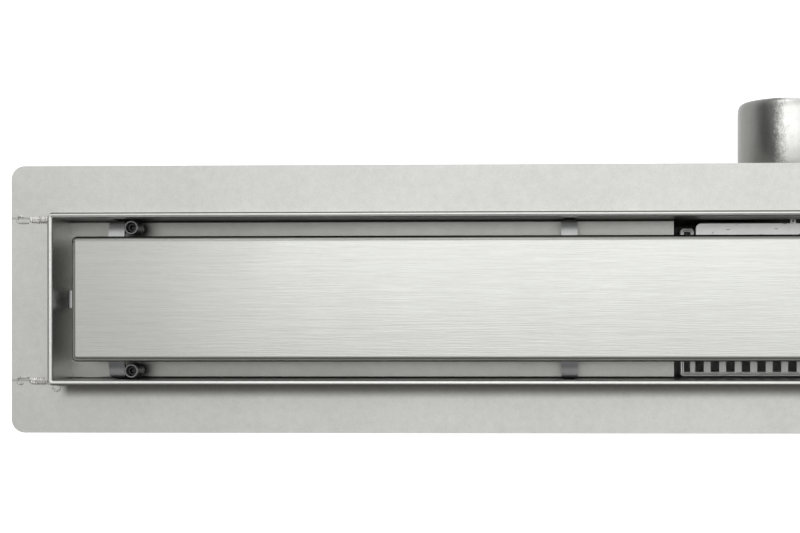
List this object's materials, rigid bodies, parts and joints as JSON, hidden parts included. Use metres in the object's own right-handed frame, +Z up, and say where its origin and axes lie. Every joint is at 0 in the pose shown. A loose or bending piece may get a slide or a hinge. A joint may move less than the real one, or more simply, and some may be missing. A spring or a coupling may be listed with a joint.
{
  "type": "linear shower drain",
  "caption": "Long stainless floor drain: folded trough with raised rim and sealing flange, solid cover, sump with water trap and horizontal outlet.",
  "frame": {"origin": "middle of the cover's top face, level with the rim and the finished floor", "axes": "+X along the drain, +Y towards the outlet pipe, +Z up out of the floor"},
  "size_m": [0.646, 0.1396, 0.08],
  "materials": {
    "satin_steel": "satin",
    "brushed_cover": "brushed along its length",
    "inner_steel": "satin",
    "weld_steel": "rippled weld bead",
    "zinc_steel": "zinc plated",
    "trap_plastic": "moulded, matt",
    "pad_plastic": "moulded, matt",
    "seal_rubber": "soft, matt"
  },
  "bodies": {
    "drain": {"channel_profile": "satin_steel", "end_plate_left": "satin_steel", "end_plate_right": "satin_steel", "corner_welds": "weld_steel", "flange_welds": "weld_steel", "sump_box": "inner_steel", "outlet_pipe": "satin_steel", "outlet_weld": "weld_steel", "cover_plate": "brushed_cover", "bridge_outer_left": "inner_steel", "bridge_inner_left": "inner_steel", "bridge_inner_right": "inner_steel", "bridge_outer_right": "inner_steel", "end_spacer_left": "inner_steel", "end_spacer_right": "inner_steel", "trap_body": "trap_plastic", "outlet_gasket": "seal_rubber", "trap_lid": "inner_steel", "strainer": "inner_steel", "strainer_legs": "inner_steel", "foot_bracket_left": "satin_steel", "foot_bracket_right": "satin_steel", "lock_nuts": "zinc_steel", "levelling_sleeve_front_left": "inner_steel", "levelling_sleeve_rear_left": "inner_steel", "levelling_sleeve_front_right": "inner_steel", "levelling_sleeve_rear_right": "inner_steel"},
    "screw_front_left": {"levelling_screw_front_left": "zinc_steel"},
    "screw_rear_left": {"levelling_screw_rear_left": "zinc_steel"},
    "screw_front_right": {"levelling_screw_front_right": "zinc_steel"},
    "screw_rear_right": {"levelling_screw_rear_right": "zinc_steel"},
    "foot_front_left": {"foot_rod_front_left": "zinc_steel", "foot_pad_front_left": "pad_plastic"},
    "foot_rear_left": {"foot_rod_rear_left": "zinc_steel", "foot_pad_rear_left": "pad_plastic"},
    "foot_front_right": {"foot_rod_front_right": "zinc_steel", "foot_pad_front_right": "pad_plastic"},
    "foot_rear_right": {"foot_rod_rear_right": "zinc_steel", "foot_pad_rear_right": "pad_plastic"}
  },
  "joints": [
    {"name": "screw_front_left_height", "type": "slide", "parent": "drain", "child": "screw_front_left", "axis": [0, 0, 1], "range_m": [0, 0.003]},
    {"name": "screw_rear_left_height", "type": "slide", "parent": "drain", "child": "screw_rear_left", "axis": [0, 0, 1], "range_m": [0, 0.003]},
    {"name": "screw_front_right_height", "type": "slide", "parent": "drain", "child": "screw_front_right", "axis": [0, 0, 1], "range_m": [0, 0.003]},
    {"name": "screw_rear_right_height", "type": "slide", "parent": "drain", "child": "screw_rear_right", "axis": [0, 0, 1], "range_m": [0, 0.003]},
    {"name": "foot_front_left_height", "type": "slide", "parent": "drain", "child": "foot_front_left", "axis": [0, 0, 1], "range_m": [-0.012, 0.003]},
    {"name": "foot_rear_left_height", "type": "slide", "parent": "drain", "child": "foot_rear_left", "axis": [0, 0, 1], "range_m": [-0.012, 0.003]},
    {"name": "foot_front_right_height", "type": "slide", "parent": "drain", "child": "foot_front_right", "axis": [0, 0, 1], "range_m": [-0.012, 0.003]},
    {"name": "foot_rear_right_height", "type": "slide", "parent": "drain", "child": "foot_rear_right", "axis": [0, 0, 1], "range_m": [-0.012, 0.003]}
  ]
}
